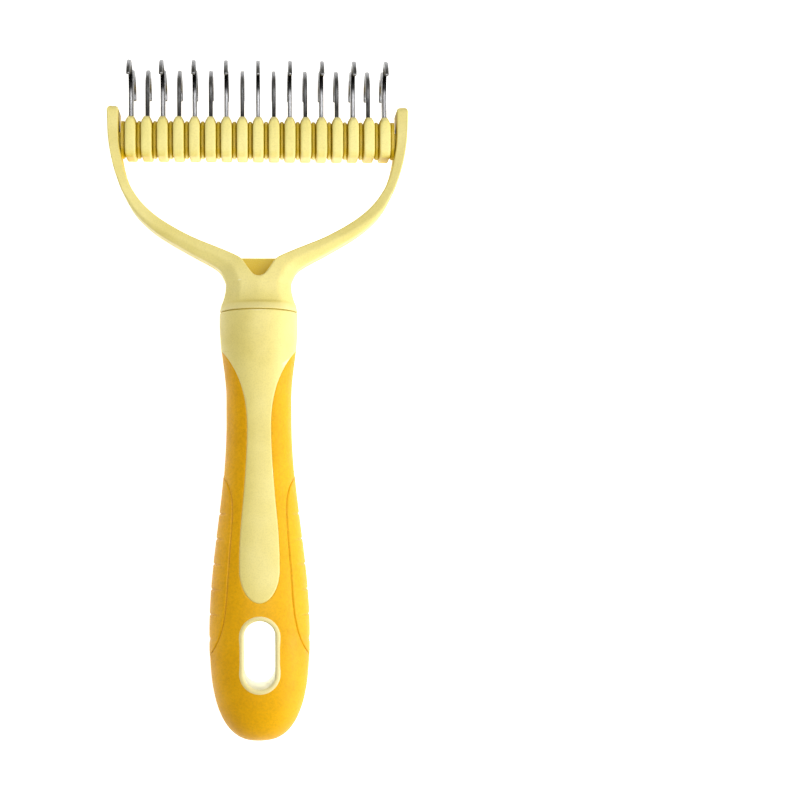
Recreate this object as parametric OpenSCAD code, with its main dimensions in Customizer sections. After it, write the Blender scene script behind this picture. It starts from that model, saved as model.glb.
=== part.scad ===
// Two-sided undercoat rake: a ribbed comb bar with hooked steel blades, carried by a
// forked yoke on a two-material handle. The rake lies on its back: X runs along the
// comb bar, +Y points to the blades and +Z is the front side, with the nine wide-set
// hooks. The origin is under the middle of the rake, on the surface that it lies on.

/* [Overall] */
// Height of the head's middle plane over the surface that the rake lies on
head_z = 15; // [14.5:0.5:17]
// How far the handle's centre line drops towards its back at the belly
sweep = 3; // [2:0.5:3]

/* [Blades] */
// Number of ribs, each with one blade plate
ribs = 17; // [11:2:17]
// Distance from rib to rib along the bar
pitch = 4.9; // [4.8:0.05:5]
// Thickness of a blade plate
blade_t = 1.2; // [0.8:0.1:1.3]
// Height of the blades' highest point along the rake
blade_top_y = 104.8; // [100:0.1:106]
// Outer radius of a hook
hook_r = 7.5; // [7:0.1:7.5]
// Inner radius of a hook
hook_inner_r = 5.3; // [4.8:0.1:5.3]
// Width of one hook's shank
shank_w = 3.5; // [3:0.1:3.6]
// Angle of a front hook's tip over the hook's centre
front_tip_angle = 18; // [10:1:25]
// Angle of a rear hook's tip over the hook's centre
rear_tip_angle = -2; // [-5:1:10]

/* [Comb bar] */
// Half length of the bar between the yoke's ears
bar_half = 42.2; // [41.5:0.1:42.6]
// Lower end of the ribs
rib_y0 = 75.7; // [75:0.1:76]
// Upper corner of the ribs, where their roof starts
rib_y1 = 86.9; // [86:0.1:87.5]
// Ridge of the ribs' roof
rib_peak_y = 89; // [88.5:0.1:89.2]
// Width of a rib
rib_w = 3.4; // [3:0.1:3.6]
// Thickness of the ribs from front to back
rib_d = 13; // [12:0.1:13]
// Thickness of the bar's core between the ribs
core_d = 8; // [7:0.1:9]
// Diameter of the tie rod
rod_d = 3; // [2:0.5:3]

/* [Yoke] */
// Depth of the pocket that each ear has for the bar's end
ear_pocket = 1.7; // [1:0.1:1.8]
// Width of the square tenon inside the handle
tenon_w = 11; // [9:0.5:11]
// Length of the tenon
tenon_len = 16; // [10:1:16]

/* [Handle] */
// Top of the collar, where the yoke's neck meets the handle
seam_y = 28.4; // [28:0.1:29]
// Radius of the collar
collar_r = 11.65; // [11.4:0.05:12]
// Half width of the waist
waist_w = 10.1; // [9.8:0.1:10.5]
// Half thickness of the waist
waist_d = 9.5; // [9:0.1:10]
// Half width of the belly
belly_w = 15.5; // [14.5:0.1:16]
// Half thickness of the belly
belly_d = 12; // [11:0.5:12]
// Place of the belly's widest point
belly_y = -72; // [-74:1:-70]
// Length of the rounded end past the belly
end_len = 32.9; // [31:0.1:33]

/* [Hang slot] */
// Middle of the slot
slot_y = -77.4; // [-78:0.1:-77]
// Width of the slot
slot_w = 9.6; // [8:0.1:10]
// Length of the slot from end to end
slot_len = 20.9; // [18:0.1:22]
// Width of the pale rim round the slot
slot_rim = 1.6; // [1.2:0.1:2]

/* [Hidden] */
$fn = 48;

pale = [0.94, 0.89, 0.57];
orange = [0.93, 0.66, 0.12];
steel = [0.62, 0.63, 0.65];

big = 60;                       // longer than any cut needs
rod_y = (rib_y0 + rib_y1) / 2;  // the tie rod runs along the middle of the ribs
tang_y = rib_y0 + 2.4;          // lower end of the blades' tangs
hook_y = blade_top_y - hook_r;  // centre of the hooks
tip_r = 0.45;                   // rounding of a hook's tip
waist_y = [1, -5];              // the waist is parallel between these
collar_y = 24;                  // the collar is parallel above this
end_power = 2.6;                // power of the end's rounding
section_power = 2.2;            // power of the handle's oval section
spine_d = 5.2;                  // half thickness of the core under the grip
spine_inset = 3.4;              // the core stays this far inside the handle's outline

// From 0 to 1, level at both ends.
function ease(t) = (1 - cos(180 * min(max(t, 0), 1))) / 2;

// From v0 at y0 to v1 at y1.
function between(y, y0, y1, v0, v1) = v0 + (v1 - v0) * ease((y - y0) / (y1 - y0));

// 1 along the handle, falling to 0 over its rounded end.
function end_taper(y) =
    y > belly_y ? 1 : pow(1 - pow(min((belly_y - y) / end_len, 1), end_power), 1 / end_power);

// Half width of the handle at y.
function half_w(y) =
    y > waist_y[0] ? between(y, waist_y[0], collar_y, waist_w, collar_r)
    : end_taper(y) * between(y, waist_y[1], belly_y, waist_w, belly_w);

// Half thickness of the handle at y.
function half_d(y) =
    y > waist_y[0] ? between(y, waist_y[0], collar_y, waist_d, collar_r)
    : end_taper(y) * between(y, waist_y[1], belly_y, waist_d, belly_d);

// Height of the handle's centre line at y.
function centre_z(y) = head_z - sweep * ease((collar_y - y) / (collar_y - belly_y));

// A power of a signed number that keeps its sign.
function signed_pow(v, p) = sign(v) * pow(abs(v), p);

// Half width of the pale tongue and collar, as seen from the front.
tongue_y = [15.6, -8.6, -51, -61.5];
tongue_w = [11.2, 3.7, 6.2];
function tongue_half(y) =
    y > tongue_y[1] ? tongue_w[1] + (tongue_w[0] - tongue_w[1]) * pow((y - tongue_y[1]) / (tongue_y[0] - tongue_y[1]), 2.6)
    : y > tongue_y[2] ? between(y, tongue_y[1], tongue_y[2], tongue_w[1], tongue_w[2])
    : tongue_w[2] * sqrt(1 - pow((tongue_y[2] - y) / (tongue_y[2] - tongue_y[3]), 2));

// Faces of a closed loft through rings of the same number of points.
function loft_faces(rings, sides) = concat(
    [[for (k = [0:sides - 1]) k]],
    [[for (k = [sides - 1:-1:0]) (rings - 1) * sides + k]],
    [for (r = [0:rings - 2], k = [0:sides - 1])
        let (a = r * sides + k, b = r * sides + (k + 1) % sides)
        [a, a + sides, b]],
    [for (r = [0:rings - 2], k = [0:sides - 1])
        let (b = r * sides + (k + 1) % sides, a = r * sides + k)
        [b, a + sides, b + sides]]
);

module loft(rings) {
    sides = len(rings[0]);
    polyhedron([for (ring = rings) each ring], loft_faces(len(rings), sides), convexity = 6);
}

// One oval ring of the handle.
handle_sides = 28;
function handle_ring(y, w, d) = [
    for (k = [0:handle_sides - 1])
    let (a = 360 * k / handle_sides, p = 2 / section_power)
    [w * signed_pow(cos(a), p), y, centre_z(y) + d * signed_pow(sin(a), p)]
];

// The whole outside of the handle, collar to end.
module handle_shape() {
    edge = 0.5;
    body_rings = 15;
    end_rings = 9;
    last_angle = 86;
    body_step = (collar_y - belly_y) / body_rings;
    ys = concat(
        [for (i = [0:body_rings - 1]) collar_y - i * body_step],
        [for (i = [0:end_rings]) belly_y - end_len * sin(last_angle * i / end_rings)]
    );
    loft(concat(
        [handle_ring(seam_y, collar_r - edge, collar_r - edge)],
        [handle_ring(seam_y - edge, collar_r, collar_r)],
        [for (y = ys) handle_ring(y, half_w(y), half_d(y))]
    ));
}

// A slot-shaped prism through the handle at the hang slot.
module slot_prism(grow) {
    r = slot_w / 2 + grow;
    reach = (slot_len - slot_w) / 2;
    translate([0, slot_y, 0]) {
        for (side = [-1, 1]) translate([0, side * reach, 0]) cylinder(r = r, h = big, $fn = 64);
        translate([-r, -reach, 0]) cube([2 * r, 2 * reach, big]);
    }
}

// The pale region as seen from the front, tongue and collar together.
module tongue_prism() {
    steps = 11;
    up = [for (i = [0:steps]) tongue_y[1] + (tongue_y[0] - tongue_y[1]) * i / steps];
    mid = [for (i = [1:steps]) tongue_y[1] + (tongue_y[2] - tongue_y[1]) * i / steps];
    low = [for (i = [1:steps]) tongue_y[2] + (tongue_y[3] - tongue_y[2]) * sin(90 * i / steps)];
    edge = concat(
        [[collar_r + 2, seam_y + 1], [collar_r + 2, tongue_y[0] + 0.6]],
        [for (i = [steps:-1:0]) [tongue_half(up[i]), up[i]]],
        [for (y = concat(mid, low)) [tongue_half(y), y]]
    );
    left = [for (i = [len(edge) - 2:-1:0]) [-edge[i][0], edge[i][1]]];
    linear_extrude(big) polygon(concat(edge, left));
}

// The stiff spine that the grip is moulded round.
module spine() {
    tip_y = belly_y - end_len + 8;
    steps = 12;
    ys = [for (i = [0:steps]) 14 + (tip_y - 14) * i / steps];
    right = [for (y = ys) [half_w(y) - spine_inset, y]];
    left = [for (i = [steps:-1:0]) [-right[i][0], right[i][1]]];
    spine_z = head_z - sweep / 2;
    translate([0, 0, spine_z - spine_d]) linear_extrude(2 * spine_d) polygon(concat(right, left));
}

module socket(clearance) {
    w = tenon_w + 2 * clearance;
    translate([-w / 2, seam_y - tenon_len - clearance, head_z - w / 2]) cube([w, big, w]);
}

// Hard pale core: collar, front and back tongues, spine and the rim of the hang slot.
module handle_core() {
    color(pale) difference() {
        union() {
            intersection() {
                handle_shape();
                union() {
                    tongue_prism();
                    slot_prism(slot_rim);
                }
            }
            spine();
        }
        slot_prism(0);
        socket(0.05);
    }
}

// Soft orange grip, moulded over the core's sides and end.
module grip() {
    color(orange) difference() {
        handle_shape();
        tongue_prism();
        slot_prism(slot_rim);
        spine();
    }
}

// Sections of one arm of the yoke, from the ear down to the collar: inner edge x, y,
// outer edge x, y, half depth at the inner edge, ridge and outer edge, and the ridge's
// place between the inner edge, 0, and the outer edge, 1.
arm_sections = [
    [43.8, 91.5, 45.8, 91.5, 5.2, 5.5, 5.1, 0.85],
    [43.3, 90.5, 46.6, 90.5, 5.9, 6.2, 5.8, 0.85],
    [43.3, 82.0, 46.4, 83.0, 5.9, 6.2, 5.8, 0.85],
    [42.3, 76.4, 45.4, 76.0, 5.8, 6.2, 5.7, 0.85],
    [40.8, 71.0, 43.7, 70.4, 5.6, 6.0, 5.4, 0.85],
    [38.6, 66.2, 41.4, 65.0, 5.4, 5.9, 5.2, 0.82],
    [34.9, 61.3, 37.6, 59.2, 5.3, 5.9, 5.0, 0.75],
    [29.3, 56.9, 31.8, 53.6, 5.4, 6.0, 4.9, 0.62],
    [20.9, 52.2, 23.1, 48.2, 5.9, 6.4, 4.9, 0.52],
    [11.9, 48.5, 14.3, 43.2, 6.7, 7.0, 5.0, 0.48],
    [5.6, 45.6, 11.2, 40.2, 7.4, 7.5, 5.2, 0.48],
    [2.6, 41.6, 10.3, 38.0, 8.0, 8.0, 5.4, 0.51],
    [0, 39.0, 10.1, 36.2, 8.4, 8.2, 5.4, 0.56],
    [0, 35.5, 10.2, 34.0, 8.8, 8.4, 5.2, 0.58],
    [0, 31.0, 10.8, 31.0, 9.8, 8.9, 4.4, 0.6],
    [0, 30.4, 11.1, 30.4, 10.6, 9.2, 3.8, 0.6],
    [0, 28.4, 11.6, 28.4, 11.3, 9.4, 3.2, 0.6]
];
shoulder_at = 0.92;  // place of the shoulder that rounds the outer edge
shoulder_up = 0.25;  // how far the shoulder stands over a straight bevel

// The closed section of an arm, for one row of the table.
function arm_ring(s) =
    let (
        inner = [s[0], s[1]],
        outer = [s[2], s[3]],
        at = function(t) inner + (outer - inner) * t,
        bevel = (shoulder_at - s[7]) / (1 - s[7]),
        shoulder_z = s[5] + (s[6] - s[5]) * bevel + shoulder_up,
        half = [[0, s[4]], [s[7], s[5]], [shoulder_at, shoulder_z], [1, s[6] - shoulder_up]]
    )
    concat(
        [for (p = half) [at(p[0])[0], at(p[0])[1], head_z - p[1]]],
        [for (i = [3:-1:0]) let (p = half[i]) [at(p[0])[0], at(p[0])[1], head_z + p[1]]]
    );

// Smooth curve through rows a, b, c and d of a table, from b at t = 0 to c at t = 1.
function through(a, b, c, d, t) =
    (2 * b + (c - a) * t + (2 * a - 5 * b + 4 * c - d) * t * t + (3 * b - a - 3 * c + d) * t * t * t) / 2;

module arm() {
    n = len(arm_sections);
    smooth_from = 1;
    smooth_to = 12;
    parts = 3;
    rows = [
        for (i = [0:n - 2], j = [0:parts - 1])
        let (
            curved = i >= smooth_from && i < smooth_to,
            a = arm_sections[max(i - 1, smooth_from)],
            b = arm_sections[i],
            c = arm_sections[i + 1],
            d = arm_sections[min(i + 2, n - 1)]
        )
        if (curved || j == 0) curved ? through(a, b, c, d, j / parts) : b
    ];
    loft([for (s = concat(rows, [arm_sections[n - 1]])) arm_ring(s)]);
}

// The bar's end, square so that it can't turn in the ear.
end_w = 5;
module bar_end(clearance, length) {
    w = end_w + 2 * clearance;
    translate([0, rod_y - w / 2, head_z - w / 2]) cube([length, w, w]);
}

pocket = [8, 12, 9.6];    // the pocket in the crotch, across, along and deep
web_y = [36, 45.8];       // the web behind the pocket reaches up to a straight edge
web_z = [7.9, 5.4];       // its back and front, behind the middle plane

module yoke() {
    color(pale) difference() {
        union() {
            for (side = [0, 1]) mirror([side, 0, 0]) arm();
            translate([-6.4, web_y[0], head_z - web_z[0]])
                cube([12.8, web_y[1] - web_y[0], web_z[0] - web_z[1]]);
            translate([-tenon_w / 2, seam_y - tenon_len, head_z - tenon_w / 2])
                cube([tenon_w, tenon_len + 1, tenon_w]);
        }
        translate([-pocket[0] / 2, web_y[0] - 4, head_z - pocket[2] / 2])
            cube([pocket[0], 20, pocket[2]]);
        for (side = [0, 1]) mirror([side, 0, 0])
            translate([bar_half, 0, 0]) bar_end(0.05, ear_pocket + 0.9);
    }
}

// Front view of one rib: rounded foot, roof narrowing to the blade.
module rib_front() {
    foot = 0.9;
    peak_w = 1.7;
    translate([-rib_w / 2, rib_y0 + foot]) square([rib_w, rib_y1 - rib_y0 - foot]);
    translate([-rib_w / 2 + foot, rib_y0]) square([rib_w - 2 * foot, foot + 0.1]);
    for (side = [-1, 1]) translate([side * (rib_w / 2 - foot), rib_y0 + foot]) circle(r = foot);
    polygon([
        [-rib_w / 2, rib_y1], [-peak_w / 2, rib_peak_y], [peak_w / 2, rib_peak_y], [rib_w / 2, rib_y1]
    ]);
}

// Side view of the ribs: an arched roof and a rounded foot.
module rib_side() {
    foot_r = 2.4;
    foot_x = rib_d / 2 - foot_r;
    roof_h = 2.5;
    roof_y = rib_peak_y - roof_h;
    for (side = [-1, 1]) translate([side * foot_x, rib_y0 + foot_r]) circle(r = foot_r);
    translate([-foot_x, rib_y0]) square([2 * foot_x, foot_r]);
    translate([-rib_d / 2, rib_y0 + foot_r]) square([rib_d, roof_y - rib_y0 - foot_r]);
    polygon([for (a = [0:7.5:180]) [rib_d / 2 * cos(a), roof_y + roof_h * sin(a)]]);
}

// Stands a drawing of the side view, depth by length, up along X at the head's middle plane.
module along_x(length) {
    translate([0, 0, head_z]) rotate([0, -90, 0]) linear_extrude(length, center = true) children();
}

function rib_x(i) = (i - (ribs + 1) / 2) * pitch;

module comb_bar() {
    core_r = core_d / 2;
    core_y = [rib_y0 + 0.3, rib_y1 + 0.3];
    tang_w = 2 * shank_w;
    color(pale) difference() {
        union() {
            along_x(2 * bar_half) {
                for (y = [core_y[0] + core_r, core_y[1] - core_r]) translate([0, y]) circle(r = core_r);
                translate([-core_r, core_y[0] + core_r]) square([core_d, core_y[1] - core_y[0] - core_d]);
            }
            for (i = [1:ribs]) translate([rib_x(i), 0, 0]) intersection() {
                linear_extrude(big) rib_front();
                along_x(rib_w) rib_side();
            }
            for (side = [0, 1]) mirror([side, 0, 0])
                translate([bar_half - 0.1, 0, 0]) bar_end(0, ear_pocket + 0.9);
        }
        for (i = [1:ribs])
            translate([rib_x(i) - blade_t / 2, tang_y, head_z - shank_w]) cube([blade_t, 20, tang_w]);
        translate([0, rod_y, head_z]) rotate([0, 90, 0]) cylinder(d = rod_d, h = 2 * big, center = true);
    }
}

module tie_rod() {
    color(steel) translate([0, rod_y, head_z]) rotate([0, 90, 0])
        cylinder(d = rod_d, h = 2 * (bar_half + ear_pocket), center = true);
}

// One hook in side view, curling towards positive x, with its tip at the given angle.
module hook(tip_angle) {
    inner = [shank_w + hook_inner_r, hook_y + 0.1];
    outer = [hook_r, hook_y];
    ray = 20;
    tip_at = hook_r - tip_r - 0.02;
    shank_len = hook_y - tang_y;
    translate([0, tang_y]) square([shank_w, shank_len]);
    intersection() {
        difference() {
            translate(outer) circle(r = hook_r, $fn = 96);
            translate(inner) circle(r = hook_inner_r, $fn = 96);
        }
        polygon([
            [-1, hook_y], outer, outer + ray * [cos(tip_angle), sin(tip_angle)],
            [outer[0] + ray, hook_y + ray], [-1, hook_y + ray]
        ]);
    }
    translate(outer + tip_at * [cos(tip_angle), sin(tip_angle)]) circle(r = tip_r);
}

fork_w = 2;      // the metal that fills the fork between the two hooks of an odd plate
fork_up = 2.4;   // and how far it rises over the hooks' centres

// Blade plate of rib i: odd plates have a hook on both sides, even ones only at the back.
module blade(i) {
    color(steel) translate([rib_x(i), 0, 0]) along_x(blade_t) difference() {
        union() {
            translate([-shank_w, tang_y]) square([2 * shank_w, rib_peak_y - 1 - tang_y]);
            mirror([1, 0]) hook(rear_tip_angle);
            if (i % 2 == 1) {
                hook(front_tip_angle);
                translate([-fork_w / 2, hook_y - 1]) square([fork_w, 1 + fork_up]);
            }
        }
        translate([0, rod_y]) circle(d = rod_d);
    }
}

yoke();
comb_bar();
tie_rod();
handle_core();
grip();
for (i = [1:ribs]) blade(i);
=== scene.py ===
import math

import bmesh
import bpy
import numpy as np
from mathutils import Matrix, Vector


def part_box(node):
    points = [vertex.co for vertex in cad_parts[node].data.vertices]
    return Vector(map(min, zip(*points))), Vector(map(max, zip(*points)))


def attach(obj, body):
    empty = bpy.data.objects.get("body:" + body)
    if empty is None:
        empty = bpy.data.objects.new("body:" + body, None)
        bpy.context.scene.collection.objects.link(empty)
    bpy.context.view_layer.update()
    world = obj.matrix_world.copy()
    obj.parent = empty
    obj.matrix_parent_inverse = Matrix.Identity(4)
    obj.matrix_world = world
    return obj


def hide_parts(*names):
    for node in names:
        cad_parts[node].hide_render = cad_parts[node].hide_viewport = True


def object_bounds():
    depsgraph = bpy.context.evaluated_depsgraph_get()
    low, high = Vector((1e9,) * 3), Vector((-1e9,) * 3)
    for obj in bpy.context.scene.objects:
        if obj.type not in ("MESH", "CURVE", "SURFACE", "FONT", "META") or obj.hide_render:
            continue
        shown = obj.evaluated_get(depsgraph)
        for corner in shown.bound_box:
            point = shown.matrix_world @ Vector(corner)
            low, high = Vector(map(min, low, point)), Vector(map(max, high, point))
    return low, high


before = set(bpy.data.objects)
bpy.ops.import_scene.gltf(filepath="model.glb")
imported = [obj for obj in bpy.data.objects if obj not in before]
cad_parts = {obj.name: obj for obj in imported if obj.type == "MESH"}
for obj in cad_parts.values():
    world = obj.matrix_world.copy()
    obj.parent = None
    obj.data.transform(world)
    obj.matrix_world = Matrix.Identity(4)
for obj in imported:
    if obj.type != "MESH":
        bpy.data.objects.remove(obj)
cad_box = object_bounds()

MM = 0.001  # every size below is in millimetres, and every mesh is stored in metres

# ---------------------------------------------------------------- sizes from the frame


def box_mm(node):
    """The low and the high corner of a CAD node's box, in millimetres."""
    low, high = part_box(node)
    return low / MM, high / MM


core_high = box_mm("handle_core")[1]
grip_low, grip_high = box_mm("grip")
bar_low, bar_high = box_mm("comb_bar")
rod_low, rod_high = box_mm("tie_rod")
blade_nodes = sorted(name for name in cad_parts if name.startswith("blade_"))
blade_boxes = [box_mm(name) for name in blade_nodes]

head_z = (bar_low.z + bar_high.z) / 2  # the head's middle plane
seam_y = core_high.y                   # neck and collar meet here
collar_r = core_high.x
belly_w = grip_high.x
end_y = grip_low.y
rib_xs = [(low.x + high.x) / 2 for low, high in blade_boxes]
blade_t = blade_boxes[0][1].x - blade_boxes[0][0].x
blade_y0, blade_y1 = blade_boxes[0][0].y, blade_boxes[0][1].y
rod_y = (rod_low.y + rod_high.y) / 2

# ---------------------------------------------------------------- curves shared by the handle's pieces

waist_w, waist_d, belly_d = 10.1, 9.5, 12.0
waist_y = (1.0, -5.0)        # the waist is parallel between these
collar_y = 24.0              # the collar is parallel above this
belly_y = -72.0
end_len = belly_y - end_y
end_power = 2.6              # how full the rounded end is
section_power = 2.2          # 2 would make the handle's sections ellipses
sweep = head_z - (grip_low.z + grip_high.z) / 2  # the end lies this far behind the head
tongue_y = (15.6, -8.6, -51.0, -61.5)            # the tongue's root, waist, widest place and tip
tongue_w = (11.2, 3.7, 6.2)                      # its half width at the first three
tongue_power = 2.6                               # how late it widens towards the root
slot_y, slot_w, slot_len = -77.4, 9.6, 20.9      # the hang slot's middle, width and length
slot_rim = 1.6                                   # width of the pale band round it
seam_dip, dip_reach = 0.5, 3.5                   # the seam's sides hang by this, within this reach


def ease(t):
    """From 0 to 1, level at both ends."""
    return (1 - math.cos(math.pi * min(max(t, 0.0), 1.0))) / 2


def smooth(t):
    """From 0 to 1, level at both ends, as a polynomial."""
    t = np.clip(t, 0, 1)
    return t * t * (3 - 2 * t)


def between(y, y0, y1, v0, v1):
    """Eases from v0 at y0 to v1 at y1."""
    return v0 + (v1 - v0) * ease((y - y0) / (y1 - y0))


def end_taper(y):
    """Share of the handle's width that is left at y, below the belly."""
    if y > belly_y:
        return 1.0
    return (1 - min((belly_y - y) / end_len, 1.0) ** end_power) ** (1 / end_power)


def half_w(y):
    """Half width of the handle at y."""
    if y > waist_y[0]:
        return between(y, waist_y[0], collar_y, waist_w, collar_r)
    return end_taper(y) * between(y, waist_y[1], belly_y, waist_w, belly_w)


def half_d(y):
    """Half thickness of the handle at y."""
    if y > waist_y[0]:
        return between(y, waist_y[0], collar_y, waist_d, collar_r)
    return end_taper(y) * between(y, waist_y[1], belly_y, waist_d, belly_d)


def centre_z(y):
    """Height of the handle's centre line at y."""
    return head_z - sweep * ease((collar_y - y) / (collar_y - belly_y))


def signed_pow(v, p):
    """A power of v's size, with v's sign."""
    return math.copysign(abs(v) ** p, v)


def tongue_half(y):
    """Half width of the pale tongue, as seen from the front. It widens into the whole collar."""
    if y > tongue_y[1]:
        t = min((y - tongue_y[1]) / (tongue_y[0] - tongue_y[1]), 1.0)
        return tongue_w[1] + (tongue_w[0] - tongue_w[1]) * t**tongue_power
    if y > tongue_y[2]:
        return between(y, tongue_y[1], tongue_y[2], tongue_w[1], tongue_w[2])
    t = min((tongue_y[2] - y) / (tongue_y[2] - tongue_y[3]), 1.0)
    return tongue_w[2] * math.sqrt(1 - t * t)


def border_angle(y):
    """Angle round the handle, from its side to its front, at which tongue and grip meet."""
    if y <= tongue_y[3]:
        return math.pi / 2
    if y >= tongue_y[0]:
        return 0.0
    share = min(tongue_half(y) / half_w(y), 1.0)
    return math.acos(share ** (section_power / 2))


def skin_point(y, angle, lift=0.0):
    """A point on the handle at y and an angle, 0 at its side and pi / 2 at its front, in millimetres."""
    w, d = half_w(y), half_d(y)
    p = 2 / section_power
    u, v = signed_pow(math.cos(angle), p), signed_pow(math.sin(angle), p)
    steep = section_power - 1
    n = Vector((signed_pow(u, steep) / max(w, 0.01), 0, signed_pow(v, steep) / max(d, 0.01)))
    n.normalize()
    return Vector((w * u, y, centre_z(y) + d * v)) + n * lift


def dipped(p):
    """The seam hangs a little lower at its two sides than at its front and back."""
    near = max(1 - abs(p.y - seam_y) / dip_reach, 0.0)
    return Vector((p.x, p.y - seam_dip * near * (p.x / collar_r) ** 2, p.z))


def arc_speed(y, angle):
    """Millimetres round the handle for each radian of that angle."""
    return max(math.hypot(half_w(y) * math.sin(angle), half_d(y) * math.cos(angle)), 0.5)


# ---------------------------------------------------------------- mesh helpers


def link(name, mesh):
    """An object in the scene with that mesh or curve."""
    obj = bpy.data.objects.new(name, mesh)
    bpy.context.scene.collection.objects.link(obj)
    return obj


def clean(obj, dist=0.01):
    """Merges points closer than dist, in millimetres, and drops faces without area."""
    bm = bmesh.new()
    bm.from_mesh(obj.data)
    bmesh.ops.remove_doubles(bm, verts=bm.verts, dist=dist * MM)
    bmesh.ops.dissolve_degenerate(bm, edges=bm.edges, dist=dist * MM / 4)
    bm.to_mesh(obj.data)
    bm.free()
    return obj


def mesh_from(name, points, faces, merge=1e-3):
    """An object from points in millimetres. Points closer than merge become one."""
    mesh = bpy.data.meshes.new(name)
    mesh.from_pydata([Vector(p) * MM for p in points], [], faces)
    return clean(link(name, mesh), merge)


def grid_faces(rows, columns, start=0, flip=False, ring=False):
    """Quads of a grid of points stored row after row. A ring joins its last column to its first."""
    faces = []
    for r in range(rows - 1):
        for c in range(columns if ring else columns - 1):
            a = start + r * columns + c
            b = start + r * columns + (c + 1) % columns
            quad = (a, b, b + columns, a + columns)
            faces.append(quad[::-1] if flip else quad)
    return faces


def apply_modifiers(obj):
    """Replaces obj's mesh by what its modifiers make of it."""
    graph = bpy.context.evaluated_depsgraph_get()
    mesh = bpy.data.meshes.new_from_object(obj.evaluated_get(graph))
    obj.modifiers.clear()
    obj.data = mesh
    return obj


def boolean(obj, cutter, operation):
    """Joins cutter to obj or cuts it away, and removes the cutter."""
    modifier = obj.modifiers.new("boolean", "BOOLEAN")
    modifier.operation = operation
    modifier.solver = "EXACT"
    modifier.object = cutter
    apply_modifiers(obj)
    bpy.data.objects.remove(cutter)
    return obj


def shade(obj, degrees):
    """Shades smooth, apart from edges that turn by more than so many degrees."""
    obj.data.shade_smooth()
    obj.data.set_sharp_from_angle(angle=math.radians(degrees))
    return obj


def outward(obj):
    """Turns the faces of a closed mesh to the outside."""
    bm = bmesh.new()
    bm.from_mesh(obj.data)
    bmesh.ops.recalc_face_normals(bm, faces=bm.faces)
    bm.to_mesh(obj.data)
    bm.free()
    return obj


def round_box(name, low, high, radius):
    """A box between two corners, in millimetres, with rounded edges."""
    bm = bmesh.new()
    bmesh.ops.create_cube(bm, size=1.0)
    size = [h - l for l, h in zip(low, high)]
    middle = [(h + l) / 2 for l, h in zip(low, high)]
    bmesh.ops.transform(bm, matrix=Matrix.Diagonal((*size, 1)), verts=bm.verts)
    bmesh.ops.bevel(bm, geom=bm.edges[:], offset=radius, segments=3, profile=0.5, affect="EDGES")
    bmesh.ops.transform(bm, matrix=Matrix.Scale(MM, 4) @ Matrix.Translation(middle), verts=bm.verts)
    mesh = bpy.data.meshes.new(name)
    bm.to_mesh(mesh)
    bm.free()
    return link(name, mesh)


def thicken(obj, thickness):
    """Gives an open skin a thickness inwards, in millimetres, so that it is a closed shell."""
    modifier = obj.modifiers.new("thickness", "SOLIDIFY")
    modifier.thickness = thickness * MM
    modifier.offset = -1
    modifier.thickness_clamp = 1.0
    return apply_modifiers(obj)


def distance_to(points, line):
    """Each point's distance to the nearest point of a line of points."""
    points, line = np.array(points, float), np.array(line, float)
    best = np.full(len(points), np.inf)
    batch = 40
    for start in range(0, len(line), batch):
        gap = np.linalg.norm(points[:, None, :] - line[None, start:start + batch, :], axis=2)
        best = np.minimum(best, gap.min(axis=1))
    return best


# ---------------------------------------------------------------- the grip and the handle core

# Columns and rows of the skins crowd at edges and grooves, this far from them.
CLUSTER = (0.0, 0.1, 0.22, 0.38, 0.6, 0.95)
ROOT_ROWS = (0.0, 0.04, 0.12, 0.25, 0.45, 0.7)
TIP_ROWS = (0.0, 0.02, 0.07, 0.16, 0.3, 0.5, 0.75)
TICK_ROWS = (0.0, 0.12, 0.24, 0.36, 0.5, 0.7)
row_gap = 0.015                              # rows closer than this become one

leaf_y = (-23.0, -78.0)                      # ends of the leaf-shaped panel on each side
leaf_angle = math.radians(50)
leaf_power = (6.0, 3.8)                      # how full the leaf's upper and lower half are
leaf_least = math.radians(3)                 # the columns never crowd closer than this
leaf_lift, leaf_ease = 0.14, 1.2             # the panel stands up by this, over this width
leaf_fade = math.radians(12)                 # and less where it is narrower than this
groove_depth, groove_half = 0.34, 0.24       # the line engraved round it
tick_ys = [-34.3 - 7.8 * k for k in range(6)]
tick_angle, tick_fade = math.radians(36), math.radians(7)
tick_depth, tick_half = 0.32, 0.32
grip_parting, core_parting = 0.16, 0.26      # depth of the parting line on its two sides
parting_reach = 0.4
core_lift = 0.12                             # the tongues stand a little proud of the grip
core_lift_y = (tongue_y[0] + 4, 6)           # from this height down, over this length
grip_wall, core_wall = 1.7, 1.6
grip_overlap = 0.25                          # the grip covers this much of the slot's band
# The collar's upper edge is rounded: millimetres below the seam, and drop of the surface there.
COLLAR_EDGE = ((0.02, 0.4), (0.1, 0.26), (0.24, 0.12), (0.45, 0.03), (0.7, 0.0))


def border_line(side, front):
    """Points on the parting line between tongue and grip, in millimetres."""
    ys = np.concatenate([
        np.linspace(tongue_y[0], tongue_y[2], 300),
        tongue_y[2] + (tongue_y[3] - tongue_y[2]) * np.sin(np.linspace(0, math.pi / 2, 80)),
    ])
    sign = 1 if front else -1
    points = []
    for y in ys:
        p = skin_point(float(y), sign * border_angle(float(y)))
        points.append((side * p.x, p.y, p.z))
    return points


BORDER = [p for side in (-1, 1) for front in (True, False) for p in border_line(side, front)]


def leaf_half(y):
    """Half angle of the side panel at y, from the middle of the side."""
    s = (y - sum(leaf_y) / 2) / ((leaf_y[0] - leaf_y[1]) / 2)
    power = leaf_power[0] if s > 0 else leaf_power[1]
    return leaf_angle * math.sqrt(1 - abs(s) ** power) if abs(s) < 1 else 0.0


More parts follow.
